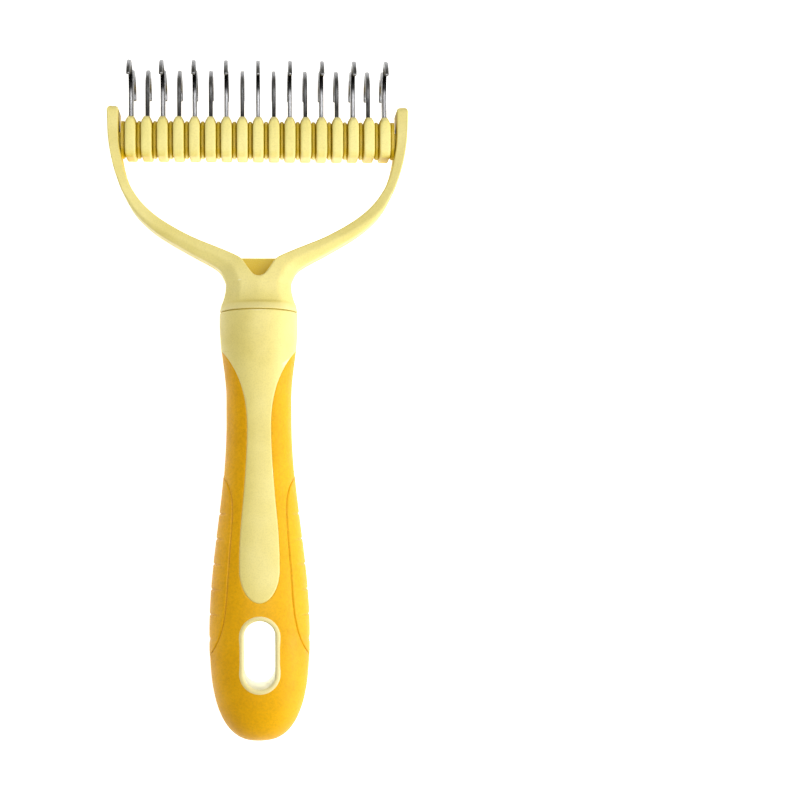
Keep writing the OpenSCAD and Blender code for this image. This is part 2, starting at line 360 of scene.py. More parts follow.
def clustered(start, stop, count, near_start, near_stop, speed):
    """Angles from start to stop, crowded at the ends that are asked for."""
    span = stop - start
    reach = min(0.42 * abs(span), CLUSTER[-1] / speed)  # less than half, so that two ends never meet
    steps = [c / CLUSTER[-1] * reach / abs(span) if abs(span) > 1e-9 else 0 for c in CLUSTER]
    first = steps if near_start else [0.0]
    last = [1 - s for s in reversed(steps)] if near_stop else [1.0]
    low, high = first[-1], last[0]
    middle = [low + (high - low) * k / (count + 1) for k in range(1, count + 1)]
    return [start + span * t for t in first + middle + last]


def thinned(ys):
    """The rows from the top down, without those too close to the row before."""
    ys = sorted(ys, reverse=True)
    kept = [ys[0]]
    for y in ys[1:]:
        if kept[-1] - y > row_gap:
            kept.append(y)
    return kept


def grip_rows():
    """Heights of the grip's rows, from the top of its two upper ends to the handle's end."""
    ys = set(np.round(np.arange(tongue_y[0] - 1.0, belly_y, -1.0), 3))
    ys |= {round(tongue_y[0] - d, 3) for d in ROOT_ROWS}
    ys |= {round(tongue_y[3] + d, 3) for d in (-0.7, -0.35, -0.12) + TIP_ROWS}
    for t in tick_ys:
        ys |= {round(t + s * d, 3) for s in (-1, 1) for d in TICK_ROWS}
    steps = 44
    end = [belly_y - end_len * math.sin(math.pi / 2 * k / steps) for k in range(steps + 1)]
    return [y for y in thinned(ys) if y > belly_y] + end


def grip_lift(y, angle, edge):
    """How far the grip stands off the plain handle there, at that distance from the parting line."""
    lift = -grip_parting * (1 - min(edge / parting_reach, 1.0)) ** 2
    leaf = leaf_half(y)
    if leaf > 0:
        off = (abs(angle) - leaf) * arc_speed(y, leaf)
        lift -= groove_depth * math.exp(-((off / groove_half) ** 2))
        lift += leaf_lift * float(smooth(0.5 - off / leaf_ease)) * min(leaf / leaf_fade, 1.0)
    for t in tick_ys:
        if abs(y - t) < 3 * tick_half:
            inside = float(smooth((tick_angle - abs(angle)) / tick_fade))
            lift -= tick_depth * math.exp(-(((y - t) / tick_half) ** 2)) * inside
    return lift


def make_grip():
    """Both halves of the grip's skin, joined, thickened inwards and cut by the hang slot."""
    rows = grip_rows()
    angles = []
    for y in rows:
        front = border_angle(y)
        # the panel's columns keep clear of the parting line's
        leaf = max(min(max(leaf_half(y), leaf_least), 0.72 * front), 1e-4)
        speed = arc_speed(y, min(leaf, front))
        outer = clustered(front, leaf, 11, True, True, speed)
        inner = clustered(leaf, 0.0, 5, True, False, speed)
        half = outer + inner[1:]
        angles.append(half + [-a for a in half[-2::-1]])
    columns = len(angles[0])
    places = [(y, a) for y, row in zip(rows, angles) for a in row]
    edges = distance_to([skin_point(y, a) for y, a in places], BORDER)
    points = [skin_point(y, a, grip_lift(y, a, edge)) for (y, a), edge in zip(places, edges)]
    mirrored = [Vector((-p.x, p.y, p.z)) for p in points]
    faces = grid_faces(len(rows), columns)
    faces += grid_faces(len(rows), columns, start=len(points), flip=True)
    grip = mesh_from("grip", points + mirrored, faces)
    face_outward(grip)
    thicken(grip, grip_wall)
    boolean(grip, slot_cutter(slot_rim - grip_overlap), "DIFFERENCE")
    return grip


def face_outward(obj):
    """Turns an open skin's faces away from the handle's centre line."""
    bm = bmesh.new()
    bm.from_mesh(obj.data)
    total = 0.0
    for f in bm.faces:
        c = f.calc_center_median() / MM
        total += f.calc_area() * f.normal.dot(Vector((c.x, 0, c.z - centre_z(c.y))))
    if total < 0:
        bmesh.ops.reverse_faces(bm, faces=bm.faces)
    bm.to_mesh(obj.data)
    bm.free()


def slot_path(radius, count=24):
    """Points round the hang slot, so far from its middle line, with their outward directions."""
    reach = (slot_len - slot_w) / 2
    out = []
    for end, first in ((1, 0.0), (-1, math.pi)):
        for k in range(count + 1):
            a = first + math.pi * k / count
            n = Vector((math.cos(a), math.sin(a), 0))
            out.append((Vector((0, slot_y + end * reach, 0)) + n * radius, n))
    return out


def slot_cutter(grow):
    """A prism through the handle, larger than the hang slot by grow on every side."""
    ring = [p for p, _ in slot_path(slot_w / 2 + grow)]
    count = len(ring)
    below, above = -20.0, 60.0
    points = [Vector((p.x, p.y, z)) for z in (below, above) for p in ring]
    faces = grid_faces(2, count, ring=True)
    faces += [tuple(range(count))[::-1], tuple(range(count, 2 * count))]
    return outward(mesh_from("slot_cutter", points, faces))


def core_rows():
    """Heights of the core's rows, from just below the seam to the tongues' tips."""
    ys = set(np.round(np.arange(tongue_y[0] + 0.9, tongue_y[3] + 1, -0.9), 3))
    ys |= {round(tongue_y[0] - d, 3) for d in (-0.5, -0.2) + ROOT_ROWS}
    ys |= {round(tongue_y[3] + d, 3) for d in TIP_ROWS + (1.0,)}
    ys |= set(np.round(np.linspace(seam_y - 1.2, tongue_y[0] + 1.2, 14), 3))
    return thinned(ys)


def make_core():
    """Collar and both tongues, as one shell."""
    rows = [(seam_y - d, -drop) for d, drop in COLLAR_EDGE]
    rows += [(y, 0.0) for y in core_rows() if y < seam_y - 0.9]
    places = []
    for sign in (1, -1):
        for y, lift in rows:
            first = border_angle(y)
            half = clustered(first, math.pi / 2, 9, True, False, arc_speed(y, first))
            row = half + [math.pi - a for a in half[-2::-1]]
            places += [(y, sign * a, lift) for a in row]
    edges = distance_to([skin_point(y, a) for y, a, _ in places], BORDER)
    points = []
    for (y, a, lift), edge in zip(places, edges):
        near = (1 - min(edge / parting_reach, 1.0)) ** 2
        raised = core_lift * float(smooth((core_lift_y[0] - y) / core_lift_y[1]))
        points.append(dipped(skin_point(y, a, lift + raised - core_parting * near)))
    columns = len(row)
    faces = grid_faces(len(rows), columns)
    faces += grid_faces(len(rows), columns, start=len(points) // 2, flip=True)
    core = mesh_from("handle_core", points, faces)
    face_outward(core)
    return thicken(core, core_wall)


def make_slot_rim():
    """The pale rim that lines the hang slot and shows as a band on both faces."""
    path = slot_path(slot_w / 2, 28)
    up, round_in, root = 0.1, 0.9, 1.6  # height over the grip, rounding into the slot, depth below
    # the band's section, outwards from the slot's wall and up from the handle's surface
    profile = [(slot_rim, -root), (slot_rim, -0.25), (slot_rim - 0.1, 0.02), (slot_rim - 0.28, 0.08)]
    profile += [(round_in + 0.1, up)]
    for k in range(7):
        a = math.pi / 2 * k / 6
        profile.append((round_in * (1 - math.sin(a)), up - round_in * (1 - math.cos(a))))
    points = []
    for p, n in path:
        ring = []
        for side in (1, -1):
            half = []
            for out, lift in profile:
                q = p + n * out
                w, d = half_w(q.y), half_d(q.y)
                z = d * (1 - (abs(q.x) / w) ** section_power) ** (1 / section_power)
                half.append(Vector((q.x, q.y, centre_z(q.y) + side * (z + lift))))
            ring += half if side == 1 else half[::-1]
        points += ring
    columns = len(profile) * 2
    rows = len(path)
    faces = grid_faces(rows, columns, ring=True)
    last = (rows - 1) * columns
    faces += [(last + c, last + (c + 1) % columns, (c + 1) % columns, c) for c in range(columns)]
    return outward(mesh_from("hang_slot_rim", points, faces))


# ---------------------------------------------------------------- the yoke

# Sections of one arm from the ear to the collar: inner edge x, y, outer edge x, y, half
# depth at the inner edge, ridge and outer edge, and the ridge's place between the edges.
ARM = [
    (43.75, 91.2, 45.5, 91.2, 5.0, 5.3, 5.0, 0.85),
    (43.05, 90.85, 46.1, 90.85, 5.6, 5.9, 5.6, 0.85),
    (42.8, 90.1, 46.45, 90.1, 5.9, 6.2, 5.8, 0.85),
    (42.75, 81.2, 46.1, 81.8, 5.9, 6.2, 5.8, 0.85),
    (42.0, 75.6, 45.1, 75.3, 5.8, 6.2, 5.7, 0.85),
    (40.6, 69.95, 43.5, 69.4, 5.6, 6.0, 5.4, 0.85),
    (38.4, 65.2, 41.25, 63.8, 5.4, 5.9, 5.2, 0.82),
    (34.7, 60.4, 37.6, 57.9, 5.3, 5.9, 5.0, 0.75),
    (29.1, 55.9, 31.65, 52.45, 5.4, 6.0, 4.9, 0.62),
    (20.75, 51.2, 22.95, 47.1, 5.9, 6.4, 4.9, 0.52),
    (11.8, 47.45, 14.25, 42.35, 6.7, 7.0, 5.0, 0.48),
    (7.5, 45.55, 11.75, 40.3, 7.2, 7.4, 5.1, 0.48),
    (5.3, 44.2, 10.85, 38.7, 7.7, 7.7, 5.3, 0.49),
    (3.3, 41.4, 10.35, 37.5, 8.1, 8.0, 5.4, 0.52),
    (1.75, 39.5, 10.1, 36.9, 8.3, 8.1, 5.4, 0.54),
    (0.0, 38.9, 10.05, 36.1, 8.4, 8.2, 5.4, 0.56),
    (0.0, 35.5, 10.2, 34.0, 8.8, 8.4, 5.2, 0.58),
    (0.0, 31.6, 10.85, 31.6, 9.7, 8.8, 4.6, 0.6),
    (0.0, 31.1, 11.0, 31.1, 9.95, 8.9, 4.4, 0.6),
    (0.0, 30.8, 11.15, 30.8, 10.45, 9.15, 4.2, 0.6),
    (0.0, 30.4, 11.3, 30.4, 10.75, 9.25, 4.2, 0.6),
    (0.0, 28.75, 11.62, 28.75, 11.35, 9.6, 4.6, 0.6),
    (0.0, 28.5, 11.55, 28.5, 11.25, 9.5, 4.5, 0.6),
]
curved = (2, 15)                    # a smooth curve runs through the rows between these two
joined_from = 15                    # from this row on, the two arms are one neck
shoulder_at, shoulder_up = 0.92, 0.25
flare_y, flare_margin = 31.6, 0.35  # the neck widens from here to this far above the seam
neck_fit, neck_rim = 0.998, 0.98    # the neck against the collar, at the seam and on its last rows
lip_y = (38.0, 90.0)                # the arms' inner lip is rounded between these
lip_r, lip_turn = 0.45, math.radians(50)  # by this, where the surface turns by more than this
ear_x = 42.0                        # the ears' pockets reach from here to the bar's ends
bar_end, bar_end_gap = 2.5, 0.05    # half width of the bar's square ends, and their play

# Boxes that are joined to the yoke or cut from it: low and high corner and the rounding of their
# edges. Depths are from the head's middle plane.
WEB = ((-6.6, 36.0, -7.9), (6.6, 45.7, -5.4), 0.35)
TENON = ((-5.5, seam_y - 16.0, -5.5), (5.5, seam_y + 1.5, 5.5), 0.4)
POCKET = ((-4.0, 32.0, -5.4), (4.0, 52.0, 4.8), 0.8)


def through(a, b, c, d, t):
    """Smooth curve through rows, from b at t = 0 to c at t = 1."""
    square = 2 * a - 5 * b + 4 * c - d
    cube = 3 * b - a - 3 * c + d
    return (2 * b + (c - a) * t + square * t**2 + cube * t**3) / 2


def arm_rows(parts=7):
    """The rows of ARM with more between them, each with whether it belongs to the joined neck."""
    table = np.array(ARM)
    rows = []
    for i in range(len(table) - 1):
        smooth_here = curved[0] <= i < curved[1]
        count = parts if smooth_here else (3 if i == curved[1] else 1)
        a = table[max(i - 1, curved[0])]
        d = table[min(i + 2, len(table) - 1)]
        if i + 1 == curved[1]:
            # the inner edge goes on into the other arm, so that the crotch is round
            d = table[curved[1]].copy()
            d[0] = -table[curved[1] - 1][0]
            d[1] = table[curved[1] - 1][1]
        for k in range(count):
            t = k / count
            if smooth_here:
                rows.append((through(a, table[i], table[i + 1], d, t), False))
            else:
                rows.append((table[i] + (table[i + 1] - table[i]) * t, i >= joined_from))
    rows.append((table[-1], True))
    return rows


def rounded(corners, radii, steps=4, parts=4):
    """An outline with rounded corners, and its straight stretches in parts. Radius 0 keeps a corner."""
    out = []
    n = len(corners)
    for i, (corner, radius) in enumerate(zip(corners, radii)):
        turn = [corner]
        if radius > 0:
            before, after = corners[i - 1], corners[(i + 1) % n]
            most = 0.46  # of a side, so that two roundings never meet
            a = corner + (before - corner) * min(radius / (before - corner).length, most)
            b = corner + (after - corner) * min(radius / (after - corner).length, most)
            shares = [k / steps for k in range(steps + 1)]
            turn = [a * (1 - t) ** 2 + corner * 2 * t * (1 - t) + b * t**2 for t in shares]
        if out:
            out += [out[-1].lerp(turn[0], k / parts) for k in range(1, parts)]
        out += turn
    return out


def flared(p):
    """Turns the neck's section into the collar's, over the last stretch above the seam."""
    share = float(smooth((flare_y - p.y) / (flare_y - seam_y - flare_margin)))
    x, z = p.x / collar_r, (p.z - head_z) / collar_r
    reach = (abs(x) ** section_power + abs(z) ** section_power) ** (1 / section_power)
    fit = neck_rim if p.y < seam_y + 0.2 else neck_fit
    grow = 1 + share * (fit / reach - 1)
    return Vector((p.x * grow, p.y, head_z + (p.z - head_z) * grow))


def arm_ring(s):
    """The outline of one section, from a row of ARM."""
    inner, outer = Vector((s[0], s[1])), Vector((s[2], s[3]))
    width = (outer - inner).length
    bevel = (shoulder_at - s[7]) / (1 - s[7])
    shoulder = s[5] + (s[6] - s[5]) * bevel + shoulder_up
    half = [(0.0, s[4]), (s[7], s[5]), (shoulder_at, shoulder), (1.0, s[6] - shoulder_up)]
    corners = [Vector((u * width, z)) for u, z in half]
    corners += [Vector((u * width, -z)) for u, z in half[::-1]]
    # rounding at the inner edge, which round_lip sees to, the ridge, the shoulder and the outer edge
    radii = [0, 0.4 + 0.05 * width, 0.5, 0.8]
    ring = rounded(corners, radii + radii[::-1])
    along = (outer - inner) / width
    points = [Vector((inner.x + along.x * p.x, inner.y + along.y * p.x, head_z + p.y)) for p in ring]
    return [dipped(flared(p)) for p in points]


def head_box(name, low, high, radius):
    """A rounded box whose depths are from the head's middle plane."""
    corners = [(x, y, head_z + z) for x, y, z in (low, high)]
    return round_box(name, *corners, radius)


def make_yoke():
    """One arm and half a neck, mirrored, then joined with web and tenon and cut for its pockets."""
    rows = arm_rows()
    rings = [arm_ring(s) for s, _ in rows]
    columns = len(rings[0])
    points = [p for ring in rings for p in ring]
    faces = []
    for r in range(len(rings) - 1):
        for c in range(columns):
            wraps = c == columns - 1
            if wraps and rows[r][1]:
                continue  # the two halves of the neck are one solid, with no wall between them
            a, b = r * columns + c, r * columns + (c + 1) % columns
            faces.append((a, b, b + columns, a + columns))
    faces.append(tuple(range(columns))[::-1])
    size = len(points)
    bottom = [size - columns + c for c in range(columns)]
    mirrored = [Vector((-p.x, p.y, p.z)) for p in points]
    faces += [tuple(i + size for i in f[::-1]) for f in faces]
    faces.append(tuple(bottom + [i + size for i in bottom[::-1]]))
    yoke = mesh_from("yoke", points + mirrored, faces)
    outward(yoke)
    round_lip(yoke)
    boolean(yoke, head_box("web", *WEB), "UNION")
    boolean(yoke, head_box("tenon", *TENON), "UNION")
    boolean(yoke, head_box("pocket", *POCKET), "DIFFERENCE")
    half = bar_end + bar_end_gap
    for side in (-1, 1):
        ends = sorted((side * ear_x, side * (bar_high.x + 0.1)))
        low = (ends[0], rod_y - half, -half)
        high = (ends[1], rod_y + half, half)
        boolean(yoke, head_box("ear_pocket", low, high, 0.1), "DIFFERENCE")
    return clean(yoke)


def round_lip(yoke):
    """Rounds the edge between the arms' faces and their inner sides, down into the crotch."""
    bm = bmesh.new()
    bm.from_mesh(yoke.data)
    lip = []
    for e in bm.edges:
        if len(e.link_faces) != 2 or e.calc_face_angle(0) < lip_turn:
            continue
        middle = (e.verts[0].co + e.verts[1].co) / 2 / MM
        if lip_y[0] < middle.y < lip_y[1]:
            lip.append(e)
    bmesh.ops.bevel(
        bm, geom=lip, offset=lip_r * MM, segments=4, profile=0.5, affect="EDGES", clamp_overlap=True
    )
    bm.to_mesh(yoke.data)
    bm.free()


# ---------------------------------------------------------------- the comb bar

rib_w = 3.4
rib_d = bar_high.z - bar_low.z
rib_y0, rib_y1, rib_peak_y = bar_low.y, 87.3, bar_high.y  # a rib's foot, shoulders and peak
peak_half = 0.7                        # half width of the flat peak
roof_h, foot_r, foot_back_r = 2.5, 2.4, 1.2
foot_round = 0.7                       # rounding of the foot's corners, seen from the front
# A rib's rounded edges: millimetres in from its side, and how much smaller its section is there.
RIB_EDGE = ((0.0, 0.5), (0.03, 0.3), (0.1, 0.15), (0.2, 0.05), (0.36, 0.0))
core_d, core_ys = 8.0, (75.75, 87.5)   # the bar between the ribs
channel, channel_w, channel_wall = 0.6, 0.42, 0.04  # the channel beside each rib
bar_half = 42.2                        # the square ends start here
bar_end_r = 0.3
blade_gap = 0.15                       # a blade's slot is wider than the blade by this on each side
blade_slot_y, blade_slot_z = (-2.6, 2.0), (-3.9, 4.8)  # the slot from the peak and the middle plane


def bar_section(x, y0, y1, half, roof, foot, foot_back=None, steps=9):
    """A section of the bar at x: an arched roof of that height over a foot with rounded corners."""
    points = []
    for k in range(2 * steps - 1):
        a = math.pi * k / (2 * steps - 2)
        points.append((y1 - roof + roof * math.sin(a), half * math.cos(a)))
    for side, first, r in ((-1, 180, foot_back or foot), (1, 270, foot)):
        for k in range(steps):
            a = math.radians(first + 90 * k / (steps - 1))
            points.append((y0 + r + r * math.sin(a), side * (half - r) + r * math.cos(a)))
    return [Vector((x, y, head_z + z)) for y, z in points]


def rib_sections(x):
    """The sections of one rib from side to side."""
    half_rib = rib_w / 2
    # places across the rib from its middle, and how much smaller the section is there
    profile = [(-half_rib + d, inset) for d, inset in RIB_EDGE]
    profile += [(-peak_half - 0.15, 0), (-peak_half + 0.15, 0), (0, 0)]
    profile += [(-d, inset) for d, inset in reversed(profile[:-1])]
    sections = []
    for d, inset in profile:
        slope = min(max((half_rib - abs(d)) / (half_rib - peak_half), 0), 1)
        top = rib_y1 + (rib_peak_y - rib_y1) * slope - inset
        corner = max(0, abs(d) - half_rib + foot_round) / foot_round
        lower = rib_y0 + inset + foot_round * (1 - math.sqrt(1 - 0.9 * corner**2))
        half = rib_d / 2 - inset
        sections.append(bar_section(x + d, lower, top, half, roof_h, foot_r, foot_back_r))
    return sections


def make_bar():
    """One skin along the whole bar, from end to end through its ribs, then cut for the blades."""
    half_core = core_d / 2
    low = half_core - channel
    core = (core_ys[0], core_ys[1], half_core, half_core, half_core - 0.05)
    beside = (core_ys[0] + channel, core_ys[1] - channel, low, low, low - 0.05)
    square = (rod_y - bar_end, rod_y + bar_end, bar_end, bar_end_r, bar_end_r)
    sections = [bar_section(-bar_high.x, *square), bar_section(-bar_half, *square)]
    sections.append(bar_section(-bar_half, *core))
    for x in rib_xs:
        left, right = x - rib_w / 2, x + rib_w / 2
        sections.append(bar_section(left - channel_w, *core))
        sections.append(bar_section(left - channel_wall, *beside))
        sections.append(bar_section(left, *beside))
        sections += rib_sections(x)
        sections.append(bar_section(right, *beside))
        sections.append(bar_section(right + channel_wall, *beside))
        sections.append(bar_section(right + channel_w, *core))
    sections.append(bar_section(bar_half, *core))
    sections += [bar_section(bar_half, *square), bar_section(bar_high.x, *square)]
    columns = len(sections[0])
    points = [p for s in sections for p in s]
    faces = grid_faces(len(sections), columns, ring=True)
    last = len(points) - columns
    faces += [tuple(range(columns))[::-1], tuple(range(last, last + columns))]
    bar = outward(mesh_from("comb_bar", points, faces, merge=2e-4))
    cut_slots(bar)
    return bar


def cut_slots(bar):
    """The slot in each rib's ridge that its blade stands in."""
    slots = []
    for x in rib_xs:
        low = (x - blade_t / 2 - blade_gap, rib_peak_y + blade_slot_y[0], blade_slot_z[0])
        high = (x + blade_t / 2 + blade_gap, rib_peak_y + blade_slot_y[1], blade_slot_z[1])
        slots.append(head_box("slot", low, high, 0.12))
    bm = bmesh.new()
    for s in slots:
        bm.from_mesh(s.data)
    mesh = bpy.data.meshes.new("slots")
    bm.to_mesh(mesh)
    bm.free()
    for s in slots:
        bpy.data.objects.remove(s)
    boolean(bar, link("slots", mesh), "DIFFERENCE")


# ---------------------------------------------------------------- the blades

hook_r, hook_inner_r = 7.5, 5.3  # a hook's outer and inner curve
shank_w = 3.5                    # half width of a plate with two hooks
hook_y = blade_y1 - hook_r
hook_rise = 0.1                  # the inner curve's centre is higher by this
front_tip_angle, rear_tip_angle = math.radians(18), math.radians(-2)
tip_r = 0.45
fork_up = 2.4                    # the two hooks part this far above the outer curve's centre
foot_y = rib_peak_y - 1.0        # the plates without a front hook end here in front
ground = 0.26                    # radius of the ground and polished edges
rod_hole_r = 1.5 + 0.02


def arc(centre, radius, first, last, count):
    """Points on an arc from one angle to another, in radians."""
    return [
        Vector((centre[0] + radius * math.cos(a), centre[1] + radius * math.sin(a)))
        for a in np.linspace(first, last, count)
    ]


def hook_outline(tip_angle):
    """One hook, curling to +x: from the foot of its inner edge over the tip to its outer edge's top."""
    inner, outer = (shank_w + hook_inner_r, hook_y + hook_rise), (hook_r, hook_y)
    mid_r = hook_r - tip_r - 0.02  # the tip's rounding lies just inside the outer curve
    tip = (outer[0] + mid_r * math.cos(tip_angle), outer[1] + mid_r * math.sin(tip_angle))
    inner_end = math.atan2(tip[1] - inner[1] + 0.25, tip[0] - inner[0] - tip_r)
    fork = math.asin(fork_up / hook_r)
    points = arc(inner, hook_inner_r, math.pi, inner_end, 40)
    points += arc(tip, tip_r, tip_angle - math.radians(165), tip_angle, 8)
    points += arc(outer, hook_r, tip_angle + 0.02, math.pi - fork, 56)
    return points


def blade_outline(two_sided):
    """The plate in side view, depth from the middle plane by height."""
    hook = hook_outline(front_tip_angle)
    rear = [Vector((-p.x, p.y)) for p in hook_outline(rear_tip_angle)]
    outline = [Vector((-shank_w, blade_y0))] + rear
    if two_sided:
        outline += hook[::-1]
    else:
        step = ((0.0, hook_y), (0.0, foot_y + 0.6), (0.25, foot_y + 0.15), (0.7, foot_y))
        outline += [Vector(p) for p in step]
        outline.append(Vector((shank_w, foot_y)))
    return outline + [Vector((shank_w, blade_y0))]


def make_blade(name, x, two_sided):
    """A plate with ground edges, from a filled and bevelled outline."""
    curve = bpy.data.curves.new(name, "CURVE")
    curve.dimensions = "2D"
    curve.fill_mode = "BOTH"
    curve.extrude = (blade_t / 2 - ground) * MM
    curve.bevel_depth = ground * MM
    curve.bevel_resolution = 2
    curve.offset = -ground * MM
    sides = 32
    hole = arc((0.0, rod_y), rod_hole_r, 0, 2 * math.pi * (sides - 1) / sides, sides)
    for outline in (blade_outline(two_sided), hole):
        spline = curve.splines.new("POLY")
        spline.points.add(len(outline) - 1)
        for point, p in zip(spline.points, outline):
            point.co = (p.x * MM, p.y * MM, 0, 1)
        spline.use_cyclic_u = True
    source = link(name + "_curve", curve)
    graph = bpy.context.evaluated_depsgraph_get()
    mesh = bpy.data.meshes.new_from_object(source.evaluated_get(graph))
    bpy.data.objects.remove(source)
    # the curve's x (depth) becomes Z, its y stays Y and its thickness lies along X
    turn = Matrix(((0, 0, -1, x * MM), (0, 1, 0, 0), (1, 0, 0, head_z * MM), (0, 0, 0, 1)))
    mesh.transform(turn)
    mesh.name = name
    return outward(clean(link(name, mesh), 1e-3))


# ---------------------------------------------------------------- materials


class Nodes:
    """A material's node tree, with short calls to add and join nodes."""

    def __init__(self, name):
        self.material = bpy.data.materials.new(name)
        self.material.use_nodes = True
        self.tree = self.material.node_tree
        self.shader = self.tree.nodes["Principled BSDF"]
        self.place = self.add("ShaderNodeTexCoord").outputs["Object"]

    def add(self, kind, **settings):
        """A new node of that kind, with its properties set."""
        node = self.tree.nodes.new(kind)
        for key, value in settings.items():
            setattr(node, key, value)
        return node

    def join(self, source, target):
        self.tree.links.new(source, target)

    def noise(self, scale, detail=3.0, roughness=0.5, stretch=None, distortion=0.0):
        """Noise with so many grains to the metre. stretch scales the place along each axis."""
        node = self.add("ShaderNodeTexNoise")
        node.inputs["Scale"].default_value = scale
        node.inputs["Detail"].default_value = detail
        node.inputs["Roughness"].default_value = roughness
        node.inputs["Distortion"].default_value = distortion
        place = self.place
        if stretch:
            mapping = self.add("ShaderNodeMapping")
            mapping.inputs["Scale"].default_value = stretch
            self.join(place, mapping.inputs["Vector"])
            place = mapping.outputs["Vector"]
        self.join(place, node.inputs["Vector"])
        return node.outputs["Fac"]

    def ramp(self, source, *stops):
        """A value or colour that follows source through (position, colour) stops."""
        node = self.add("ShaderNodeValToRGB")
        elements = node.color_ramp.elements
        while len(elements) < len(stops):
            elements.new(0.5)
        for element, (position, colour) in zip(elements, stops):
            element.position = position
            level = colour if isinstance(colour, tuple) else (colour, colour, colour)
            element.color = (*level, 1)
        self.join(source, node.inputs["Fac"])
        return node.outputs["Color"]

    def mix(self, kind, share, a, b):
        """Mixes two colours. Each input is a colour or another node's output."""
        node = self.add("ShaderNodeMix", data_type="RGBA", blend_type=kind)
        for socket, value in ((node.inputs[0], share), (node.inputs[6], a), (node.inputs[7], b)):
            if isinstance(value, bpy.types.NodeSocket):
                self.join(value, socket)
            elif isinstance(value, tuple):
                socket.default_value = (*value, 1)
            else:
                socket.default_value = value
        return node.outputs[2]

    def bump(self, *layers):
        """Bump from (height, distance in metres, strength) layers, the first at the bottom."""
        normal = None
        for height, distance, strength in layers:
            node = self.add("ShaderNodeBump")
            node.inputs["Distance"].default_value = distance
            node.inputs["Strength"].default_value = strength
            self.join(height, node.inputs["Height"])
            if normal is not None:
                self.join(normal, node.inputs["Normal"])
            normal = node.outputs["Normal"]
        self.join(normal, self.shader.inputs["Normal"])

    def rising(self, axis, low, high):
        """From 0 at low to 1 at high, in millimetres along an axis. low may be the larger."""
        split = self.add("ShaderNodeSeparateXYZ")
        self.join(self.place, split.inputs["Vector"])
        node = self.add("ShaderNodeMapRange", interpolation_type="SMOOTHSTEP")
        node.inputs["From Min"].default_value = min(low, high) * MM
        node.inputs["From Max"].default_value = max(low, high) * MM
        node.inputs["To Min"].default_value = 0.0 if low < high else 1.0
        node.inputs["To Max"].default_value = 1.0 if low < high else 0.0
        self.join(split.outputs[axis], node.inputs["Value"])
        return node.outputs["Result"]

    def edges(self, low, high, most=1.0):
        """Rises to most on sharp outer edges, and is 0 on flat stretches."""
        pointiness = self.add("ShaderNodeNewGeometry").outputs["Pointiness"]
        return self.ramp(pointiness, (low, 0.0), (high, most))

    def hollows(self, reach, low, high):
        """The mask for colour painted into hollows: 1 deep in grooves and corners, within so many
        metres, falling to 0 in the open.
        """
        node = self.add("ShaderNodeAmbientOcclusion", samples=6)
        node.inputs["Distance"].default_value = reach
        return self.ramp(node.outputs["AO"], (low, 1.0), (high, 0.0))


# Colours are linear red, green and blue.
OLIVE_PAINTED_SHADE = (0.70, 0.50, 0.001)            # painted shade in the pale plastic's grooves and pockets
PAINTED_EDGE_HIGHLIGHT = (0.95, 0.90, 0.60)         # painted highlight on its sharp edges
RUBBER = ((0.73, 0.36, 0.001), (0.82, 0.42, 0.002), (0.88, 0.46, 0.006))
RUBBED = (0.95, 0.58, 0.02)            # rubbed patches of the grip
# painted shade in the grip's grooves
PAINTED_GROOVE_SHADE = (0.42, 0.20, 0.002)
# painted shade for the steel's hollows and the front hooks' throats
STEEL_SHADE, PAINTED_THROAT_SHADE = (0.01, 0.01, 0.01), (0.008, 0.008, 0.008)


def scaled(colour, *factors):
    """A colour with each channel multiplied by its factor, or by the only one."""
    return tuple(c * f for c, f in zip(colour, factors * 3))


def pale_plastic(name, mid, painted_hollow_colour):
    """Matt hard plastic, a little cloudy, with a painted highlight on sharp edges and
    painted_hollow_colour painted into grooves and corners.
    """
    n = Nodes(name)
    light, deep = scaled(mid, 1.05, 1.07, 1.23), scaled(mid, 0.92, 0.90, 0.79)
    cloud = n.ramp(n.noise(45, 4, 0.55), (0.3, deep), (0.5, mid), (0.72, light))
    speck = n.ramp(n.noise(2200, 3, 0.7), (0.36, 0.84), (0.54, 1.0))
    colour = n.mix("MULTIPLY", 0.5, cloud, speck)
    # painted highlight: sharp edges are made lighter, as where rounded edges catch the light
    colour = n.mix("MIX", n.edges(0.525, 0.64, 0.6), colour, PAINTED_EDGE_HIGHLIGHT)
    # painted shade in grooves and pockets where painted_hollow_colour is dark; painted light in the slot
    # rim's walls, where it is pale
    colour = n.mix("MIX", n.hollows(0.016, 0.48, 0.92), colour, painted_hollow_colour)
    # painted shade: the tightest corners are made darker still
    colour = n.mix("MIX", n.hollows(0.003, 0.04, 0.17), colour, scaled(painted_hollow_colour, 0.35))
    n.join(colour, n.shader.inputs["Base Color"])
    n.join(n.ramp(n.noise(160, 5, 0.6), (0.3, 0.40), (0.7, 0.54)), n.shader.inputs["Roughness"])
    n.shader.inputs["Specular IOR Level"].default_value = 0.35
    n.bump((n.noise(300, 3, 0.5), 0.0004, 0.10), (n.noise(3000, 3, 0.65), 0.00008, 0.45))
    return n.material


